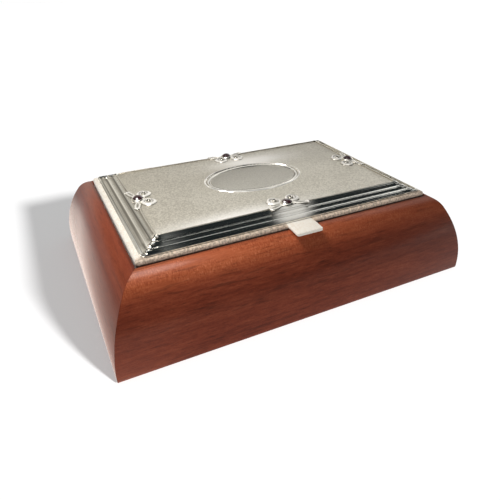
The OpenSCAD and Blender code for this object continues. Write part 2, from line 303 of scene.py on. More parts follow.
class Paint:
    """The nodes of a material, or of the world when given its tree."""

    def __init__(self, name, tree=None, **fixed):
        if tree:
            self.tree = tree
            self.shader = tree.nodes["Background"]
        else:
            self.material = bpy.data.materials.new(name)
            self.material.use_nodes = True
            self.tree = self.material.node_tree
            self.shader = self.tree.nodes["Principled BSDF"]
        for socket, value in fixed.items():
            self.shader.inputs[socket.replace("_", " ")].default_value = value

    def node(self, kind, settings, sockets, out=0):
        """Adds a node: its settings first, then the values or wires of its sockets."""
        new = self.tree.nodes.new(kind)
        for key, value in settings.items():
            if key == "stops":
                self._set_stops(new.color_ramp, value)
            else:
                setattr(new, key, value)
        for key, value in sockets.items():
            self._feed(new.inputs[key], value)
        return Wire(self, new.outputs[out])

    def _set_stops(self, ramp, stops):
        for _ in range(len(stops) - len(ramp.elements)):
            ramp.elements.new(1)
        for element, (position, tint) in zip(ramp.elements, stops):
            element.position = position
            element.color = (*tint, 1)

    def _feed(self, socket, value):
        if isinstance(value, Wire):
            self.tree.links.new(value.socket, socket)
        else:
            socket.default_value = value

    def place(self, scale=1, shift=(0, 0, 0)):
        """Object coordinates in millimetres, times one scale or one for each axis, shifted."""
        there = self.node("ShaderNodeTexCoord", {}, {}, out="Object")
        scales = scale if isinstance(scale, tuple) else (scale, scale, scale)
        return self.node("ShaderNodeMapping", {}, {
            "Vector": there, "Scale": [part / MM for part in scales], "Location": shift})

    def noise(self, scale, detail=3):
        return self.node("ShaderNodeTexNoise", {}, {
            "Vector": self.place(scale), "Scale": 1, "Detail": detail, "Roughness": 0.55})

    def part(self, vector, axis):
        return self.node("ShaderNodeSeparateXYZ", {}, {"Vector": vector}, out=axis)

    def mask(self, attribute):
        """A number that mark() stored on the piece, 0 where there is none."""
        return self.node("ShaderNodeAttribute", {"attribute_name": attribute}, {}, out="Fac")

    def ray(self, kind):
        return self.node("ShaderNodeLightPath", {}, {}, out=kind)

    def between(self, value, start, end):
        """Rises softly from 0 where the value is at its start to 1 at its end."""
        return self.node("ShaderNodeMapRange", {"interpolation_type": "SMOOTHSTEP"}, {
            "Value": value, "From Min": start, "From Max": end})

    def mix(self, factor, first, second):
        """A blend of two colours."""
        return self.node("ShaderNodeMix", {"data_type": "RGBA"}, {0: factor, 6: first, 7: second},
                         out=2)

    def height(self, distance, *layers):
        """A bump that adds up the layers, each a wire times its share."""
        return self.node("ShaderNodeBump", {}, {
            "Distance": distance, "Height": sum(layers[1:], layers[0])})

    def ramp(self, value, *stops):
        """The colour that belongs to a value, between stops of a value and a colour."""
        return self.node("ShaderNodeValToRGB", {"stops": stops}, {"Fac": value})

    def mirror_seen(self):
        """1 where a ray comes from the camera, a mirror or a clear stone."""
        seen = self.ray("Is Camera Ray")
        for kind in ("Is Glossy Ray", "Is Transmission Ray"):
            seen = self.node("ShaderNodeMath", {"operation": "MAXIMUM"}, {0: seen, 1: self.ray(kind)})
        return seen

    def use(self, **sockets):
        for socket, value in sockets.items():
            self._feed(self.shader.inputs[socket.replace("_", " ")], value)


def colour(red, green, blue):
    return (red, green, blue, 1)


def grey(level):
    return colour(level, level, level)


# Materials

def stretched(axis, long, cross):
    """Scales that stretch a pattern along the X or the Y axis."""
    return (long, cross, cross) if axis == "X" else (cross, long, cross)


def veneer(name, axis, shift, shoulder_light, contrast=1, shade=0, end_shade=0, gloss=1.21):
    """Reddish lacquered veneer along an axis: wavy streaks, pores and dashes, and flecks on the
    shoulder near the lid. Painted light: the shoulder is painted paler, a painted highlight, by a
    share given per side; shade paints the whole side darker; an end can be painted darker where
    the light falls off; and a painted shade line runs along the lid. Shift picks the stretch of wood."""
    paint = Paint(name, IOR=1.3, Specular_IOR_Level=0.15, Coat_Weight=1, Coat_Roughness=0.24,
                  Coat_IOR=gloss)

    def grain(long, cross, detail=3, sway=0):
        there = paint.place(stretched(axis, long, cross), shift=shift)
        drift = paint.node("ShaderNodeTexNoise", {}, {
            "Vector": paint.place(stretched(axis, 0.03, 0.07), shift=shift), "Scale": 1,
            "Detail": 2}, out="Color")
        swayed = paint.node("ShaderNodeVectorMath", {"operation": "MULTIPLY_ADD"}, {
            0: drift, 1: stretched(axis, 0, sway), 2: there})
        return paint.node("ShaderNodeTexNoise", {}, {
            "Vector": swayed, "Scale": 1, "Detail": detail, "Roughness": 0.6})

    bands = grain(0.012, 0.11, 2, 0.3)
    streaks = grain(0.07, 0.62, 3, 1)
    fine = grain(0.22, 1.9, 3, 2)
    pores = paint.between(grain(0.20, 2.3, 2, 2), 0.60, 0.68)
    speckle = grain(0.9, 1.3, 2, 1)
    flecks = grain(1.5, 0.62, 3, 2)
    patches = paint.between(grain(0.06, 0.10, 2), 0.36, 0.54)
    there = paint.place()
    level = paint.part(there, "Z")
    length = paint.part(there, axis)
    shoulder = paint.between(level, 35, 44)
    waist = paint.between(level, 14, 25) * paint.between(level, 40, 35)
    dashes = paint.between(grain(0.045, 0.55, 2, 1.2), 0.56, 0.68)
    mixed = bands * 0.30 + streaks * 0.30 + fine * 0.26 + speckle * 0.14
    tone = (mixed - 0.5) * (1.25 * contrast) + 0.5
    side = paint.ramp(
        tone,
        (0.34, (0.165, 0.029, 0.013)),
        (0.46, (0.240, 0.044, 0.019)),
        (0.54, (0.290, 0.058, 0.025)),
        (0.66, (0.375, 0.086, 0.039)))
    # The shoulder's colours: its own flecks, painted paler as a painted highlight of the lamp
    flecked_lit_top = paint.ramp(
        tone * 0.45 + (flecks * patches + 0.5 * (1 - patches)) * 0.55,
        (0.32, (0.270, 0.055, 0.021)),
        (0.44, (0.390, 0.088, 0.033)),
        (0.54, (0.490, 0.126, 0.050)),
        (0.66, (0.630, 0.200, 0.092)))
    # Painted shade: the wood darkens towards the right end, away from the lamp; its painted highlight
    # and marks fade there
    end = paint.between(length, -60, 110) * end_shade
    # Painted highlight: the shoulder takes the paler colours by the side's share of lamp light
    wood = paint.mix(shoulder * shoulder_light * (1 - end * 0.55), side, flecked_lit_top)
    # Painted shade: a dark line along the rail's top edge, where the lid shades it
    lip = paint.between(level, 47.45, 47.95)
    marks = (pores * 0.30 + dashes * 0.30) * (contrast * (1 - end * 0.6))
    # Pores and dashes are the wood's own marks, the waist is a darker band below the shoulder; end,
    # lid line and shade are painted shade
    marks_and_painted_shade = waist * 0.20 + marks + end * 0.20 + lip * 0.4 + shade
    paint.use(
        Base_Color=paint.mix(marks_and_painted_shade, wood, colour(0.030, 0.008, 0.005)),
        Roughness=0.46 + streaks * 0.20,
        Normal=paint.height(0.02 * MM, streaks * 0.5, fine * 0.4, pores * -0.8))
    return paint.material


def raw_wood(name):
    """Plain pale wood for what lies hidden."""
    paint = Paint(name)
    tone = paint.noise((0.02, 0.9, 0.9), 4)
    grain = paint.mix(paint.between(tone, 0.35, 0.65), colour(0.36, 0.22, 0.11),
                      colour(0.55, 0.38, 0.21))
    paint.use(Base_Color=grain, Roughness=0.7 + tone * 0.1,
              Normal=paint.height(0.03 * MM, tone))
    return paint.material


def nap(name, shade, light, fineness, depth, sheen, front_shade=0):
    """Short pile, such as velvet or suede, with soft strokes. On the lid's front it can paint shade:
    browner and patchy on the front margin and face, with a near-black painted shadow line at the foot
    where the cover meets the rail.
    """
    paint = Paint(name, Sheen_Weight=sheen, Sheen_Roughness=0.45, Specular_IOR_Level=0.2)
    pile = paint.noise(fineness)
    strokes = paint.noise(0.30)
    tone = pile * 0.7 + strokes * 0.3
    pale = paint.mix(paint.between(tone, 0.36, 0.62), shade, light)
    there = paint.place()
    depth_at = paint.part(there, "Y")
    level = paint.part(there, "Z")
    facing_up = paint.part(paint.node("ShaderNodeTexCoord", {}, {}, out="Normal"), "Z")
    not_below = paint.between(facing_up, -0.8, -0.5) * front_shade
    # Painted shade: the lid's front margin and face turn browner and patchy, but not faces that look
    # down
    mottle_or_front_shade = paint.between(depth_at + strokes * 3, -51, -53.5) * not_below
    tufts = paint.between(paint.noise(0.9), 0.40, 0.60)
    shaded_brown = paint.mix(tufts, colour(0.36, 0.25, 0.17), colour(0.84, 0.66, 0.50))
    # Painted shadow: a near-black line low on the lid's front, where the cover meets the rail
    foot = paint.between(level, 48.6, 47.9) * paint.between(depth_at, -54, -56) * not_below * 1.2
    paint.use(
        Base_Color=paint.mix(foot, paint.mix(mottle_or_front_shade, pale, shaded_brown), colour(0.020, 0.012, 0.008)),
        Roughness=0.86 + pile * 0.1,
        Normal=paint.height(depth, pile, strokes * 0.3))
    return paint.material


def satin_silver(name):
    """Sandblasted silver, with masks for what is polished, what is darkened (grooves, and painted
    shade) and what is painted pale as a painted highlight.
    """
    paint = Paint(name)
    polish = paint.mask("polish")
    hollow = paint.mask("hollow")
    pale = paint.mask("pale")
    grit = paint.noise(1.7, 2)
    frost = paint.noise(0.9, 2)
    cloud = paint.noise(0.05)
    mottle = paint.between(grit * 0.5 + frost * 0.4 + cloud * 0.1, 0.42, 0.58)
    mottle_or_front_shade = paint.mix(mottle, colour(0.56, 0.518, 0.438), colour(0.78, 0.738, 0.643))
    bare = paint.mix(polish, mottle_or_front_shade, colour(0.84, 0.81, 0.74))
    # Painted highlight: where pale, the silver turns near white and less metallic, so the lamp lights
    # it bright
    plain = paint.mix(pale * 0.7, bare, colour(1, 0.98, 0.94))
    paint.use(
        Base_Color=paint.mix(hollow * 0.8, plain, colour(0.14, 0.13, 0.11)),
        Metallic=0.84 + polish * 0.16 - pale * 0.8,
        Roughness=(0.36 + frost * 0.12) * (1 - polish) + polish * 0.10,
        Normal=paint.height(0.075 * MM, (grit * 0.6 + frost) * (1 - polish)))
    return paint.material


def bright_silver(name):
    """Polished silver, darker in its hollows and under a painted dark reflection."""
    paint = Paint(name, Metallic=1)
    hollow = paint.mask("hollow")
    smear = paint.noise(0.12, 4)
    clean = paint.mix(smear, colour(0.77, 0.75, 0.70), colour(0.87, 0.85, 0.80))
    paint.use(
        Base_Color=paint.mix(hollow * 0.85, clean, colour(0.085, 0.078, 0.062)),
        Roughness=0.03 + smear * 0.04 + hollow * 0.06)
    return paint.material


def polished_brass(name):
    paint = Paint(name, Metallic=1)
    smear = paint.noise(0.5, 4)
    paint.use(
        Base_Color=paint.mix(smear, colour(0.66, 0.44, 0.17), colour(0.83, 0.62, 0.30)),
        Roughness=0.16 + smear * 0.2,
        Normal=paint.height(0.01 * MM, paint.noise((6, 0.6, 6), 2)))
    return paint.material


def dark_garnet(name):
    paint = Paint(name, IOR=1.76, Coat_Weight=0.5, Coat_Roughness=0.02)
    cloud = paint.noise(0.6)
    paint.use(
        Base_Color=paint.mix(cloud, colour(0.012, 0.004, 0.006), colour(0.055, 0.009, 0.014)),
        Roughness=0.05 + cloud * 0.04)
    return paint.material


def resin_filler(name):
    paint = Paint(name)
    grain = paint.noise(0.8)
    paint.use(
        Base_Color=paint.mix(grain, colour(0.52, 0.50, 0.45), colour(0.68, 0.66, 0.60)),
        Roughness=0.6 + grain * 0.2)
    return paint.material


# Each side's share of painted shoulder light, by how the lamp lights that side
FRONT_VENEER = veneer("veneer_front", "X", (3.1, 7.7, 1.3), shoulder_light=1, end_shade=1)
BACK_VENEER = veneer("veneer_back", "X", (41.0, 5.2, 8.8), shoulder_light=0.5)
# The left side is painted darker, a painted shade, and its shoulder gets little painted light
LEFT_VENEER = veneer("veneer_left", "Y", (12.4, 3.9, 6.1), shoulder_light=0.15, contrast=0.5, shade=0.2,
                     gloss=1.15)
RIGHT_VENEER = veneer("veneer_right", "Y", (27.3, 9.5, 2.7), shoulder_light=0.5)
RAW_WOOD = raw_wood("raw_wood")
# The tab's suede: the cover's ivory suede painted paler, a painted highlight of the lamp on the tab
LIT_TAB_SUEDE = nap("ivory_suede", colour(0.88, 0.79, 0.67), colour(1, 0.97, 0.89),
            fineness=1.7, depth=0.14 * MM, sheen=0.4)
# The cover's suede, with painted shade on the lid's front
COVER_SUEDE = nap("ivory_suede_cover", colour(0.80, 0.72, 0.60), colour(0.99, 0.95, 0.87),
                  fineness=1.7, depth=0.14 * MM, sheen=0.3, front_shade=0.75)
VELVET = nap("ivory_velvet", colour(0.60, 0.52, 0.42), colour(0.82, 0.75, 0.65),
             fineness=4.0, depth=0.06 * MM, sheen=0.6)
FELT = nap("dark_felt", colour(0.016, 0.013, 0.012), colour(0.045, 0.038, 0.034),
           fineness=2.2, depth=0.12 * MM, sheen=0.3)
SATIN = satin_silver("satin_silver")
BRIGHT = bright_silver("bright_silver")
BRASS = polished_brass("polished_brass")
GARNET = dark_garnet("dark_garnet")
FILLER = resin_filler("resin_filler")


# Wooden body

def rail_section():
    """The section's corners: how far out from the opening, and how high."""
    arc_steps = 16
    centre = (-SHOULDER_R * math.sin(SHOULDER_SLOPE), RAIL_TOP - SHOULDER_R * math.cos(SHOULDER_SLOPE))
    run = RAIL_RUN - centre[0]
    climb = centre[1] - FOOT_H
    side_r = (run ** 2 + climb ** 2 - SHOULDER_R ** 2) / (2 * (run - SHOULDER_R))
    side_centre = (RAIL_RUN - side_r, FOOT_H)
    turn = math.atan2(centre[0] - side_centre[0], centre[1] - side_centre[1])

    def arc(middle, radius, start, end):
        angles = [start + (end - start) * i / arc_steps for i in range(arc_steps + 1)]
        return [(middle[0] + radius * math.sin(a), middle[1] + radius * math.cos(a)) for a in angles]

    shoulder = arc(centre, SHOULDER_R, SHOULDER_SLOPE, turn)
    side = arc(side_centre, side_r, turn, QUARTER)
    foot = [(RAIL_RUN, FELT_TOP), (REBATE, FELT_TOP), (REBATE, BASE_TOP), (0, BASE_TOP)]
    return shoulder + side[1:] + foot


def make_rail(name, half_length, half_depth, turn):
    """A mitred rail, made at the front and turned to its side."""
    far = half_length + RAIL_RUN * 2
    rail = outline(name, [(-far, -half_depth - out, up) for out, up in rail_section()])
    extrude_all(rail, (2 * far, 0, 0))
    for side in (-1, 1):
        cut(rail, (side * half_length, -half_depth, 0), (side, 1, 0), clear_outer=True, use_fill=True)
    rail.data.transform(Matrix.Rotation(turn, 4, "Z"))
    return rail


def hinge_room(x, reach_front, reach_back, drop):
    """The space for a hinge's knuckles and leaf, as two cutting tools."""
    ease = 0.1 * MM
    half = (HINGE_HIGH.x - HINGE_LOW.x) / 2 + ease
    room = 1.75 * MM
    above = 5 * MM
    knuckles = block("knuckle_room", (x - half, PIN.y - room, PIN.z - room),
                     (x + half, PIN.y + room, PIN.z + above))
    leaf = block("leaf_room", (x - half, PIN.y - reach_front, PIN.z - drop),
                 (x + half, PIN.y + reach_back, PIN.z + above))
    return [knuckles, leaf]


def make_body():
    sides = [
        ("front_rail", OPEN_X, OPEN_Y, 0, FRONT_VENEER),
        ("right_rail", OPEN_Y, OPEN_X, QUARTER, RIGHT_VENEER),
        ("back_rail", OPEN_X, OPEN_Y, 2 * QUARTER, BACK_VENEER),
        ("left_rail", OPEN_Y, OPEN_X, 3 * QUARTER, LEFT_VENEER),
    ]
    for node, half_length, half_depth, turn, finish in sides:
        rail = make_rail(node + "_wood", half_length, half_depth, turn)
        if node == "back_rail":
            for x in (-PIN.x, PIN.x):
                for tool in hinge_room(x, 0, LEAF_OUT, RAIL_LEAF_DROP):
                    carve(rail, tool)
        soften(rail, 0.25 * MM)
        smooth(rail)
        dress(rail, "case", "polished_wood", finish, node)


def make_felt():
    felt = block("base_felt_sheet", *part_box("base_felt"))
    bevel_edges(felt, 2 * MM, 5, upright)
    soften(felt, 0.2 * MM)
    smooth(felt)
    dress(felt, "case", "felt", FELT, "base_felt")


# Lid

def make_cover():
    """The board wrapped in suede, with room for the tab and the hinges."""
    ease = Vector((0.1, 0.35, 0)) * MM
    cover = block("lid_cover_suede", LID_LOW + ease, LID_HIGH - Vector((ease.x, 0, 0)))
    bevel_edges(cover, 1.6 * MM, 6, upright)
    bevel_edges(cover, 1.5 * MM, 6, lambda a, b: min(a.z, b.z) > LID_HIGH.z - NEAR)
    tab_low, tab_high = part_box("pull_tab")
    carve(cover, block("tab_room", tab_low, tab_high + Vector((0, 0, 1)) * MM))
    for x in (-PIN.x, PIN.x):
        for tool in hinge_room(x, LEAF_OUT, 0, LID_LEAF_DROP):
            carve(cover, tool)
    soften(cover, 0.3 * MM, angle=40 * DEGREE)
    smooth(cover, 40 * DEGREE)
    dress(cover, "lid", "suede", COVER_SUEDE, "lid_cover")


def make_tab():
    """The pull tab: a folded strip that droops a little over the rail."""
    low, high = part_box("pull_tab")
    free = 11 * MM
    droop = 0.5 * MM
    tab = block("pull_tab_strip", low, high)
    bevel_edges(tab, 1.3 * MM, 5, lambda a, b: upright(a, b) and max(a.y, b.y) < low.y + NEAR)
    for share in (0.15, 0.3, 0.45, 0.6, 0.8):
        cut(tab, (0, low.y + share * free, 0), (0, 1, 0))
    soften(tab, 0.6 * MM, segments=4, angle=40 * DEGREE)
    for vertex in tab.data.vertices:
        reach = max(0, 1 - (vertex.co.y - low.y) / free)
        vertex.co.z -= droop * reach ** 2
    smooth(tab, 50 * DEGREE)
    dress(tab, "lid", "suede", LIT_TAB_SUEDE, "pull_tab")


# Silver plate

def stretch(start, end, bulge, steps):
    """Points after start up to end, bowed out by bulge times their distance."""
    dx, dy = end[0] - start[0], end[1] - start[1]
    points = []
    for step in range(1, steps + 1):
        share = step / steps
        bow = 4 * bulge * share * (1 - share)
        points.append((start[0] + share * dx - bow * dy, start[1] + share * dy + bow * dx))
    return points


# Moulding of the border, in millimetres from the plate's foot: the point where
# each stretch ends, how far the stretch bows out, and its number of steps
MOULDING = [
    (0.95, 0.62, 0.34, 5),
    (1.45, 0.36, 0.00, 1),
    (1.80, 0.36, 0.00, 1),
    (3.95, 1.35, 0.11, 7),
    (4.80, 1.42, 0.00, 3),
    (6.85, 2.87, 0.13, 8),
    (7.85, 2.95, 0.00, 3),
    (10.05, 4.60, 0.13, 9),
]
MOULDING_RISE = 0.34
# Where the moulding's grooves lie, how wide their dark line is, and how dark
GROOVES = [(1.50, 0.22, 0.7), (3.90, 0.35, 0.6), (7.84, 0.40, 1.0)]
# The long sides' grooves keep only this share of their dark, painted lighter so the flats there show
# bright lines of light
LONG_SIDE_GROOVE_SHARE = 0.12
# Where the rolls lie that mirror the long sides' flowers, and how wide and dark that painted
# reflection of the flower is
MIRRORING_ROLLS = (2.3, 8.9)
ROLL_W = 0.9
FLOWER_W = 14
MIRRORED_DARK = 0.85
CORNER_ROUND = 2.2 * MM


def bump_at(value, middle, width):
    """1 at the middle, falling to 0 on both sides of it."""
    return math.exp(-((value - middle) / width) ** 2)


def dark_grooves_and_mirrored_flower(point):
    """How dark the border is: in its grooves, and under a painted dark reflection where its rolls
    mirror a flower.
    """
    from_end = (PLATE_HIGH.x - abs(point.x)) / MM
    from_front = (PLATE_HIGH.y - abs(point.y)) / MM
    inwards = min(from_end, from_front)
    shade = max(dark * bump_at(inwards, middle, width) for middle, width, dark in GROOVES)
    if from_front >= from_end:
        return shade
    roll = max(bump_at(inwards, middle, ROLL_W) for middle in MIRRORING_ROLLS)
    return max(LONG_SIDE_GROOVE_SHARE * shade, MIRRORED_DARK * roll * bump_at(point.x / MM, 0, FLOWER_W))


def moulding_steps():
    """The moulding as inset steps: how far inwards and how far up each one goes."""
    least = 0.005  # an inset of nothing would leave doubled corners
    at = (0, MOULDING_RISE)
    steps = []
    for inwards, up, bulge, count in MOULDING:
        for out, height in stretch(at, (inwards, up), bulge, count):
            so_far = [sum(step[axis] for step in steps) for axis in (0, 1)]
            steps.append((max(out - so_far[0], least), height - MOULDING_RISE - so_far[1]))
        at = (inwards, up)
    return steps


def make_border():
    """The moulding, inset step by step, so that its corners are mitred."""
    clear_selection()
    bpy.ops.mesh.primitive_plane_add(size=2, location=(0, 0, PLATE_LOW.z))
    bpy.context.object.scale = (PLATE_HIGH.x, PLATE_HIGH.y, 1)
    border = named("plate_border")
    inset_steps(border, moulding_steps(), rise=MOULDING_RISE, open_top=True)

    def on_mitre(a, b):
        return all(abs((PLATE_HIGH.x - abs(p.x)) - (PLATE_HIGH.y - abs(p.y))) < NEAR for p in (a, b))

    bevel_edges(border, CORNER_ROUND, 6, on_mitre, offset_type="ABSOLUTE")
    # Cuts near the corners keep the rounding there out of the long sides' shading
    for half, way in ((FIELD_X, Vector((1, 0, 0))), (FIELD_Y, Vector((0, 1, 0)))):
        for side in (-1, 1):
            for inwards in (CORNER_ROUND + 0.4 * MM, CORNER_ROUND + 3 * MM):
                cut(border, way * (half - inwards) * side, way)
    apply_modifier(border, "SOLIDIFY", thickness=SHEET, offset=-1)
    mark(border, hollow=dark_grooves_and_mirrored_flower)
    smooth(border, 32 * DEGREE)
    dress(border, "lid", "silver", BRIGHT, "silver_plate")


def oval_distance(point):
    """How far a point lies outside the oval, roughly."""
    reach = math.hypot(point.x / OVAL_X, point.y / OVAL_Y)
    in_the_middle = reach < 0.05
    if in_the_middle:
        return -OVAL_Y
    slope = math.hypot(point.x / OVAL_X ** 2, point.y / OVAL_Y ** 2) / reach
    return (reach - 1) / slope


def line_inset(along):
    """How far the raised line lies inside the border, at a place along a side."""
    past_flower = max(abs(along) / MM - 5.5, 0)
    return (0.45 + 3.1 * math.exp(-past_flower / 4.5)) * MM


def beyond_line(point):
    """How far a point lies on the border's side of the raised line."""
    return max(line_inset(point.x) - (FIELD_Y - abs(point.y)),
               line_inset(point.y) - (FIELD_X - abs(point.x)))


def rounded_corner(point, half_x, half_y):
    """Draws a point of a rectangle's corner in, so that the corner becomes an arc."""
    into_x = abs(point.x) - (half_x - CORNER_ROUND)
    into_y = abs(point.y) - (half_y - CORNER_ROUND)
    if into_x <= 0 or into_y <= 0:
        return point.x, point.y
    share = max(into_x, into_y) / math.hypot(into_x, into_y)
    x = half_x - CORNER_ROUND + into_x * share
    y = half_y - CORNER_ROUND + into_y * share
    return math.copysign(x, point.x), math.copysign(y, point.y)


def field_painted_shade(point):
    """Painted shade on the field: a dark line beside the raised line, stronger on the front half, and
    a darkening towards the back right.
    """
    line = bump_at(beyond_line(point) / MM, -0.55, 0.35) * (0.1 if point.y > 0 else 0.55)
    to_right = min(max(point.x / MM / 60, 0), 1)
    to_back = min(max((point.y / MM + 10) / 30, 0), 1)
    return max(line, 0.26 * to_right * to_back)


def field_painted_highlight(point):
    """Two painted highlights: a pale glow behind the oval, and a pale patch near the front edge."""
    x, y = point.x / MM, point.y / MM
    behind = math.exp(-((x - 14) / 26) ** 2 - ((y - 27) / 9) ** 2) if oval_distance(point) > 0 else 0
    return min(1, 1.2 * behind + math.exp(-((y + 44) / 7) ** 2 - ((x + 30) / 42) ** 2))


def make_field():
    """The satin field, which swells up to the oval and falls a little at its edge."""
    lap = 0.05 * MM
    under_oval = -0.3 * MM
    edge_fall = 0.25 * MM
    half_x, half_y = FIELD_X + lap, FIELD_Y + lap
    clear_selection()
    bpy.ops.mesh.primitive_grid_add(x_subdivisions=280, y_subdivisions=164, size=2)
    bpy.context.object.scale = (half_x, half_y, 1)
    field = named("plate_field")
    for vertex in field.data.vertices:
        vertex.co.x, vertex.co.y = rounded_corner(vertex.co, half_x, half_y)
        away = oval_distance(vertex.co)
        out = max(away, 0) / MM
        lift = OVAL_SWELL * (0.55 * math.exp(-out / 3.2) + 0.45 * math.exp(-out / 10))
        if away < -1.5 * MM:
            lift = under_oval
        edge = min(FIELD_X - abs(vertex.co.x), FIELD_Y - abs(vertex.co.y)) / MM
        vertex.co.z = FIELD_Z + lift - edge_fall * math.exp(-max(edge, 0) / 5)
    mark(field, polish=lambda point: min(max(beyond_line(point) / (0.5 * MM) + 0.5, 0), 1),
         hollow=field_painted_shade, pale=field_painted_highlight)
    apply_modifier(field, "SOLIDIFY", thickness=SHEET, offset=-1)
    smooth(field)
    dress(field, "lid", "silver", SATIN)


def make_oval():
    """The oval: a bead, a polished band between two grooves, and a flat panel."""
    clear_selection()
    bpy.ops.mesh.primitive_circle_add(vertices=160, radius=1, fill_type="NGON")
    bpy.context.object.scale = (OVAL_X + 0.3 * MM, OVAL_Y + 0.3 * MM, 1)
    bpy.context.object.location = (0, 0, FIELD_Z + OVAL_SWELL - 0.5 * MM)
    oval = named("plate_oval")
    inset_steps(oval, [
        (0.08, 0.18), (0.24, 0.22), (0.28, 0.24), (0.26, 0.16), (0.22, 0.05), (0.20, -0.05),
        (0.16, -0.17), (0.12, -0.22), (0.12, -0.16), (0.16, 0.00), (0.14, 0.12), (0.20, 0.10),
        (0.45, 0.06), (0.50, 0.00), (0.50, -0.06), (0.35, -0.10), (0.20, -0.14), (0.16, -0.18),
        (0.20, 0.00), (0.16, 0.14), (0.20, 0.02),
    ])
    grooves = [(-1.48, 0.20, 0.45), (-3.80, 0.18, 0.5)]
    bead, bead_w = -0.5, 0.7
    band_end, panel_edge = -3.9, -4.1

    def hollow(point):
        away = oval_distance(point) / MM
        panel = 0.40 if away < panel_edge else 0
        return max(panel, *(dark * bump_at(away, middle, width) for middle, width, dark in grooves))

    # The bead is painted pale, a painted highlight; the grooves and the panel are darker
    mark(oval, polish=lambda point: 1 if oval_distance(point) > band_end * MM else 0.3,
         hollow=hollow,
         pale=lambda point: 0.75 * bump_at(oval_distance(point) / MM, bead, bead_w))
    apply_modifier(oval, "SOLIDIFY", thickness=SHEET, offset=-1)
    smooth(oval, 60 * DEGREE)
    dress(oval, "lid", "silver", SATIN)


def make_line():
    """The thin raised line round the field, which sweeps in to each flower."""
    count = 90
    points = []
    for turns in range(4):
        half_length, half_depth = (FIELD_Y, FIELD_X) if turns % 2 else (FIELD_X, FIELD_Y)
        end = half_length - line_inset(half_length)
        for index in range(count):
            along = end * (2 * index / count - 1)
            place = Vector((along, -half_depth + line_inset(along), FIELD_Z + 0.08 * MM))
            points.append(Matrix.Rotation(turns * QUARTER, 3, "Z") @ place)
    curve = bpy.data.curves.new("plate_line", "CURVE")
    curve.dimensions = "3D"
    curve.bevel_depth = 0.36 * MM
    curve.bevel_resolution = 3
    spline = curve.splines.new("POLY")
    spline.points.add(len(points) - 1)
    for corner, point in zip(spline.points, points):
        corner.co = (*point, 1)
    spline.use_cyclic_u = True
    line = bpy.data.objects.new("plate_line", curve)
    bpy.context.scene.collection.objects.link(line)
    make_active(line)
    bpy.ops.object.convert(target="MESH")
    line = named("plate_line")
    mark(line, polish=0.3)
    smooth(line, 60 * DEGREE)
    dress(line, "lid", "silver", SATIN)


# Flowers on the plate, made round the origin with the plate's middle towards +Y

def cup(name, length, width, tilt, shift, taper, steps):
    """A sheet metal petal with a raised rim and a hollow, its length along X.

    Tilt lifts its tip, shift draws its hollow towards the root, taper widens its tip."""
    clear_selection()
    bpy.ops.mesh.primitive_circle_add(vertices=48, radius=1, fill_type="NGON")
    leaf = named(name)
    for vertex in leaf.data.vertices:
        around = math.atan2(vertex.co.y, vertex.co.x)
        notch = 1 - 0.08 * bump_at(around, 0, 0.35)
        vertex.co = (length / 2 * math.cos(around) * notch,
                     width / 2 * math.sin(around) * (1 + taper * math.cos(around)),
                     -0.4 * MM)
    inset_steps(leaf, steps)
    for vertex in leaf.data.vertices:
        reach = math.hypot(vertex.co.x / (length / 2), vertex.co.y / (width / 2))
        inner = 1 - min(reach, 1)
        if vertex.co.z > 0:
            vertex.co.z *= 1 + tilt * vertex.co.x / (length / 2)
        vertex.co.x -= shift * inner
    apply_modifier(leaf, "SUBSURF", levels=1, render_levels=1)
    leaf.data.transform(Matrix.Translation((length / 2, 0, 0)))
    return leaf


def make_collar():
    """The setting that holds the stone, with a soft rounded lip."""
    return spun("collar", [
        (4.10, -0.40), (4.05, 0.25), (3.85, 0.62), (3.60, 0.92), (3.35, 1.15), (3.12, 1.28),
        (2.96, 1.28), (2.86, 1.15), (2.86, -0.40),
    ], 48)


def make_eyelet(across, inwards):
    """A small raised ring at a petal's root, its closed middle painted dark as the shade of a hole."""
    eyelet = spun("eyelet", [
        (1.50, 0.60), (1.46, 1.02), (1.34, 1.20), (1.18, 1.30), (1.04, 1.28), (0.94, 1.16),
        (0.86, 0.92), (0.05, 0.86), (0.05, 0.50),
    ], 32)
    hole_r = 0.98 * MM
    mark(eyelet, polish=0.7, hollow=lambda point: 1 if math.hypot(point.x, point.y) < hole_r else 0)
    eyelet.data.transform(Matrix.Translation((across * MM, inwards * MM, 0)))
    return eyelet


def foot_shade(point):
    """The dark line round the foot of a petal or leaf."""
    return 0.8 if point.z < 0.22 * MM else 0


def petal_shade(point):
    """The dark ring inside a petal's rim, and its foot."""
    reach = math.hypot((point.x / MM - 5) / 5, point.y / MM / 4.6)
    return max(foot_shade(point), 0.95 * bump_at(reach, 0.50, 0.11))


def rim_painted_highlight(point):
    """Painted highlight on a petal or leaf: paler the higher it stands, its rim most."""
    return min(max((point.z / MM - 0.30) / 0.3, 0), 1)


def leaf_shade(point):
    """The dark middle of a leaf's hollow, and its foot."""
    middle = bump_at(point.x / MM, 5.2, 2.6) * bump_at(point.y / MM, 0, 0.5)
    return max(middle, foot_shade(point))


def make_stone():
    """A round cut stone: a girdle, two rows of facets and a flat table."""
    clear_selection()
    bpy.ops.mesh.primitive_circle_add(vertices=14, radius=STONE_R, fill_type="NGON")
    stone = named("stone")
    stone.data.transform(Matrix.Translation((0, 0, STONE_SEAT)))
    inset_steps(stone, [(0.75, 0.62), (0.85, 0.36)], rise=1.0)
    close_seams(stone)
    return stone


def flower_places():
    """The four sides: their names, and how the flower is turned and moved there."""
    sides = {"front": 0, "right": 1, "back": 2, "left": 3}
    for side, turns in sides.items():
        out = (FIELD_Y if turns % 2 == 0 else FIELD_X) - FLOWER_IN
        turn = Matrix.Rotation(turns * QUARTER, 4, "Z")
        yield side, turn @ Matrix.Translation((0, -out, FIELD_Z))


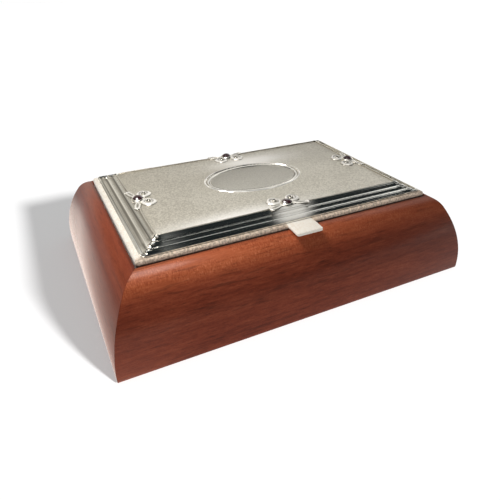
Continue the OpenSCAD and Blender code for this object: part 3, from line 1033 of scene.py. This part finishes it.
PETAL = dict(length=10.0 * MM, width=9.2 * MM, tilt=0.05, shift=0.6 * MM, taper=0.10, steps=[
    (0.12, 0.50), (0.26, 0.22), (0.34, 0.26), (0.36, 0.26), (0.34, 0.18), (0.28, 0.06),
    (0.26, -0.08), (0.28, -0.24), (0.34, -0.20), (0.50, -0.06), (0.55, 0.02), (0.40, 0.06)])
LEAF = dict(length=10.4 * MM, width=4.2 * MM, tilt=0, shift=0.3 * MM, taper=0.10, steps=[
    (0.12, 0.50), (0.24, 0.18), (0.26, 0.19), (0.26, 0.14), (0.22, 0.04), (0.18, -0.12),
    (0.18, -0.22), (0.16, -0.08)])


def make_petal(name, form, shade, root, spread):
    """A petal or leaf from its root out, turned by spread from the plate's middle."""
    petal = cup(name, **form)
    mark(petal, polish=0.4, hollow=shade, pale=rim_painted_highlight)
    turn = Matrix.Rotation(QUARTER - spread, 4, "Z")
    petal.data.transform(turn @ Matrix.Translation((root, 0, 0)))
    return petal


def make_flowers():
    parts = []
    for side in (-1, 1):
        parts += [make_petal("petal", PETAL, petal_shade, 2.4 * MM, side * 52 * DEGREE),
                  make_petal("leaf", LEAF, leaf_shade, 3.3 * MM, side * 106 * DEGREE),
                  make_eyelet(side * 5.3, 4.6)]
    collar = make_collar()
    mark(collar, polish=0.7)
    flower = joined("flower", parts + [collar])
    smooth(flower, 60 * DEGREE)
    stone = make_stone()
    for side, matrix in flower_places():
        blossom = copied(flower, "flower_" + side, matrix)
        dress(blossom, "lid", "silver", SATIN)
        gem = copied(stone, "stone_" + side + "_cut", matrix)
        dress(gem, "lid", "garnet", GARNET, "stone_" + side)
    bpy.data.objects.remove(flower)
    bpy.data.objects.remove(stone)


# Inside

def covered_board(node, round_edge):
    """A stiff board under velvet, with rounded edges."""
    board = block(node + "_velvet", *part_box(node))
    bevel_edges(board, round_edge, 4, every_edge)
    smooth(board, 40 * DEGREE)
    dress(board, "case", "velvet", VELVET, node)


def blown_up(piece, cell, cap):
    """The cover is cut into cells of this size, and the point that moves most moves by the cap."""
    last_frame = 20
    apply_modifier(piece, "REMESH", mode="VOXEL", voxel_size=cell)
    flat = [vertex.co.copy() for vertex in piece.data.vertices]
    make_active(piece)
    cloth = piece.modifiers.new("cloth", "CLOTH")
    cloth.settings.use_pressure = True
    cloth.settings.uniform_pressure_force = 4
    cloth.settings.effector_weights.gravity = 0
    cloth.point_cache.frame_start = 1
    cloth.point_cache.frame_end = last_frame
    for moment in range(1, last_frame + 1):
        bpy.context.scene.frame_set(moment)
    bpy.ops.object.modifier_apply(modifier=cloth.name)
    bpy.context.scene.frame_set(1)
    moves = [vertex.co - place for vertex, place in zip(piece.data.vertices, flat)]
    share = cap / max(move.length for move in moves)
    for vertex, place, move in zip(piece.data.vertices, flat, moves):
        vertex.co = place + move * share
    apply_modifier(piece, "SUBSURF", levels=1, render_levels=1)


def keep_within(piece, low, high):
    """Presses a piece flat where it meets the walls of its place."""
    for vertex in piece.data.vertices:
        vertex.co = [min(max(part, least), most) for part, least, most in zip(vertex.co, low, high)]


def padded(name, low, high, roundings, cell, cap):
    """A filled cover that swells by the cap to fill its place."""
    inwards = Vector((cap, cap, cap))
    pad = block(name, low + inwards, high - inwards)
    for width, segments, wanted in roundings:
        bevel_edges(pad, width, segments, wanted)
    blown_up(pad, cell, cap)
    keep_within(pad, low, high)
    smooth(pad, 60 * DEGREE)
    return pad


def make_linings():
    for side in ("front", "back", "left", "right"):
        covered_board(side + "_lining", 1.2 * MM)


def make_pads():
    roundings = [(0.7 * MM, 3, every_edge)]
    low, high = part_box("floor_pad")
    floor = padded("floor_pad_velvet", low, high, roundings, cell=1.6 * MM, cap=0.6 * MM)
    dress(floor, "case", "velvet", VELVET, "floor_pad")
    low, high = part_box("lid_pad")
    under = Vector((high.x, high.y, LID_LOW.z))
    pad = padded("lid_pad_velvet", low, under, roundings, cell=1.6 * MM, cap=0.5 * MM)
    dress(pad, "lid", "velvet", VELVET, "lid_pad")


def make_divider():
    covered_board("divider", 1.3 * MM)


def make_ring_rolls():
    """Padded rolls that stand side by side and hold rings in the slots between them."""
    low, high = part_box("ring_rolls")
    count = 8
    gap = 0.4 * MM
    pitch = (high.y - low.y + gap) / count
    end = Vector((high.x, low.y + pitch - gap, high.z))
    roundings = [(3.2 * MM, 5, lambda a, b: abs(a.x - b.x) > NEAR),
                 (1.2 * MM, 3, lambda a, b: abs(a.x - b.x) < NEAR)]
    roll = padded("ring_roll", low, end, roundings, cell=1.5 * MM, cap=1.0 * MM)
    for index in range(count):
        one = copied(roll, f"ring_roll_{index + 1}", Matrix.Translation((0, index * pitch, 0)))
        dress(one, "case", "velvet", VELVET, "ring_rolls")
    bpy.data.objects.remove(roll)


# Small fittings

SCREW_R = 0.55 * MM
SCREW_HEAD_R = 1.13 * MM
SCREW_HEAD_H = 0.55 * MM
SCREW_SLOT = Vector((0.9, 0.15, 0.15)) * MM


def turned(name, corners, foot_r, top_r, depth, location, turn):
    """A round piece, narrower at one end or straight, its axis turned about X."""
    clear_selection()
    bpy.ops.mesh.primitive_cone_add(vertices=corners, radius1=foot_r, radius2=top_r, depth=depth,
                                    location=location, rotation=(turn, 0, 0))
    return named(name)


def make_leaf_screws(node, body, way):
    """Countersunk screws with slotted heads, in both hinges' leaves."""
    low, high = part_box(node)
    x_out = high.x - SCREW_HEAD_R - PIN.x
    z = (low.z + high.z) / 2
    face = low.y if way > 0 else high.y
    length = high.y - low.y
    screws = []
    for hinge in (-1, 1):
        for side in (-1, 1):
            x = hinge * PIN.x + side * x_out
            shank = turned("shank", 32, SCREW_R, SCREW_R, length,
                           (x, face + way * length / 2, z), QUARTER)
            head = turned("head", 48, SCREW_HEAD_R, SCREW_R, SCREW_HEAD_H,
                          (x, face + way * SCREW_HEAD_H / 2, z), -way * QUARTER)
            slot = block("slot", -SCREW_SLOT, SCREW_SLOT)
            as_driven = Matrix.Rotation((17 + 40 * side + 25 * hinge) * DEGREE, 4, "Y")
            slot.data.transform(Matrix.Translation((x, face, z)) @ as_driven)
            carve(head, slot)
            screws += [shank, head]
    screw_set = joined(node + "_slotted", screws)
    smooth(screw_set)
    dress(screw_set, body, "brass", BRASS, node)


def paint_hidden_nodes():
    """Finishes for the solids that stay, most of them out of sight."""
    finishes = {"mitre_splines": RAW_WOOD, "base_board": RAW_WOOD, "lid_board": RAW_WOOD,
                "base_screws": BRASS, "plate_backing": FILLER}
    for piece in ("rail_leaf", "lid_leaf", "pin"):
        for side in ("left", "right"):
            finishes[f"hinge_{piece}_{side}"] = BRASS
    for node, material in finishes.items():
        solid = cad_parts[node]
        for slot in solid.material_slots:
            slot.material = material
        smooth(solid)


# Stage

# Fitted to the edges of the box in the photo
CAMERA_AT = Vector((-118.8, -233.4, 162.3)) * MM
CAMERA_TURN = -26.54 * DEGREE
CAMERA_TILT = 31.58 * DEGREE
CAMERA_LENS = 31.79


def make_camera():
    back = Vector((math.sin(CAMERA_TURN) * math.cos(CAMERA_TILT),
                   -math.cos(CAMERA_TURN) * math.cos(CAMERA_TILT), math.sin(CAMERA_TILT)))
    camera = bpy.data.objects.new("camera", bpy.data.cameras.new("camera"))
    camera.data.lens = CAMERA_LENS
    camera.data.sensor_width = 36
    camera.data.clip_start = 0.01
    camera.location = CAMERA_AT
    camera.rotation_mode = "QUATERNION"
    camera.rotation_quaternion = (-back).to_track_quat("-Z", "Y")
    bpy.context.scene.collection.objects.link(camera)
    bpy.context.scene.camera = camera


def make_floor():
    """A pale floor: white with the object's shadow to the camera, and in mirrors grey with a
    warm bright patch at the back left."""
    clear_selection()
    bpy.ops.mesh.primitive_plane_add(size=8)
    floor = named("studio_floor")
    paint = Paint("pale_floor", Roughness=0.9, Specular_IOR_Level=0.0, Emission_Strength=1)
    camera = paint.ray("Is Camera Ray")
    there = paint.place()
    bright = paint.between(paint.part(there, "X"), -60, -115)
    bright = bright * paint.between(paint.part(there, "Y"), 230, 140)
    mirrored = paint.mix(bright, grey(0.40), colour(2.0, 1.78, 1.62))
    glow = paint.mix(paint.mirror_seen(), grey(0.88), mirrored)
    paint.use(
        Base_Color=paint.mix(camera, grey(0.04), grey(0.62)),
        Emission_Color=paint.mix(camera, glow, grey(0.35)))
    floor.data.materials.append(paint.material)
    return floor


# Where the ceiling's strip lamp lies, as the X of the direction to it
STRIP_ACROSS = 0.484


def make_world():
    """White to the camera, a soft grey light, and a studio to mirrors: pale walls at the back
    with a bright low corner on the right, a dark front, a strip lamp and a broad lamp above."""
    world = bpy.data.worlds.new("studio")
    bpy.context.scene.world = world
    world.use_nodes = True
    paint = Paint("studio", world.node_tree)
    there = paint.node("ShaderNodeTexCoord", {}, {}, out="Generated")
    height = paint.part(there, "Z")
    across = paint.part(there, "X")
    away = paint.part(there, "Y")
    left = paint.ramp(
        height,
        (0.00, (0.92, 0.89, 0.82)),
        (0.13, (0.90, 0.87, 0.79)),
        (0.25, (0.64, 0.61, 0.54)),
        (0.34, (0.52, 0.49, 0.43)),
        (0.38, (0.33, 0.31, 0.27)),
        (0.49, (0.32, 0.30, 0.26)),
        (0.54, (0.80, 0.76, 0.67)),
        (0.62, (0.74, 0.70, 0.62)),
        (0.68, (0.12, 0.13, 0.13)),
        (0.73, (0.022, 0.028, 0.029)),
        (1.00, (0.014, 0.019, 0.021)))
    right = paint.ramp(
        height,
        (0.00, (0.80, 0.79, 0.77)),
        (0.08, (0.50, 0.49, 0.47)),
        (0.18, (0.24, 0.23, 0.22)),
        (0.33, (0.24, 0.23, 0.22)),
        (0.38, (0.84, 0.84, 0.82)),
        (0.53, (0.84, 0.84, 0.82)),
        (0.59, (1.45, 1.47, 1.45)),
        (0.67, (1.45, 1.47, 1.45)),
        (0.72, (0.12, 0.13, 0.13)),
        (0.76, (0.022, 0.028, 0.029)),
        (1.00, (0.014, 0.019, 0.021)))
    back = paint.mix(paint.between(across, 0.15, 0.24), left, right)
    corner = paint.between(height, 0.22, 0.03) * paint.between(across, 0.32, 0.50)
    bright_back = paint.mix(corner, back, colour(2.4, 2.36, 2.26))
    front = paint.between(away, 0.30, 0.05) * paint.between(height, 0.0, 0.06)
    left_end = paint.between(across, 0.27, 0.15) * paint.between(across, 0.02, 0.12)
    dark = paint.mix(left_end, colour(0.018, 0.023, 0.025), colour(0.30, 0.31, 0.31))
    room = paint.mix(front, bright_back, dark)
    from_strip = paint.node("ShaderNodeMath", {"operation": "ABSOLUTE"}, {0: across - STRIP_ACROSS})
    strip = paint.between(from_strip, 0.048, 0.012) * paint.between(height, 0.50, 0.66)
    overhead = (paint.between(across, 0.16, 0.06) * paint.between(across, -0.85, -0.70)
                * paint.between(away, 0.20, 0.05) * paint.between(away, -0.55, -0.40)
                * paint.between(height, 0.55, 0.70))
    lit = paint.mix(overhead, room, colour(1.5, 1.48, 1.44))
    mirrored = paint.mix(strip * 0.75, lit, colour(1, 0.99, 0.97))
    soft = paint.mix(paint.ray("Is Glossy Ray"), grey(0.26), mirrored)
    paint.use(Color=paint.mix(paint.ray("Is Camera Ray"), soft, grey(1)))


def aimed(name, kind, towards):
    """A lamp that shines along a direction."""
    lamp = bpy.data.objects.new(name, bpy.data.lights.new(name, kind))
    lamp.rotation_mode = "QUATERNION"
    lamp.rotation_quaternion = Vector(towards).to_track_quat("-Z", "Y")
    bpy.context.scene.collection.objects.link(lamp)
    return lamp


def lights_only(lamp, things):
    """The lamp reaches these things alone."""
    reached = bpy.data.collections.new(lamp.name + "_reaches")
    for thing in things:
        reached.objects.link(thing)
    lamp.light_linking.receiver_collection = reached


LAMP_AT = Vector((-98, -16, 240)) * MM
LAMP_TARGET = Vector((-10, -30, 40)) * MM
LAMP_SIZE = 0.10
LAMP_WATTS = 0.37
SHADOW_TOWARDS = Vector((-0.46, 0.93, -0.47))
SHADOW_STRENGTH = 6.6
SHADOW_SOFTNESS = 6 * DEGREE


def make_lamps(floor):
    """A round soft lamp close above the left front for the pieces, and a low sun for the
    floor's shadow."""
    lamp = aimed("round_lamp", "AREA", LAMP_TARGET - LAMP_AT)
    lamp.location = LAMP_AT
    lamp.data.shape = "DISK"
    lamp.data.size = LAMP_SIZE
    lamp.data.energy = LAMP_WATTS
    lamp.data.color = (1, 0.975, 0.94)
    lights_only(lamp, [thing for thing in bpy.context.scene.objects
                       if thing.type == "MESH" and thing != floor])
    low = aimed("shadow_lamp", "SUN", SHADOW_TOWARDS)
    low.data.energy = SHADOW_STRENGTH
    low.data.angle = SHADOW_SOFTNESS
    lights_only(low, [floor])


make_body()
make_felt()
make_cover()
make_tab()
make_border()
make_field()
make_oval()
make_line()
make_flowers()
make_linings()
make_pads()
make_divider()
make_ring_rolls()
make_leaf_screws("rail_leaf_screws", "case", 1)
make_leaf_screws("lid_leaf_screws", "lid", -1)
paint_hidden_nodes()
make_camera()
make_lamps(make_floor())
make_world()
bpy.context.scene.view_settings.view_transform = "Standard"
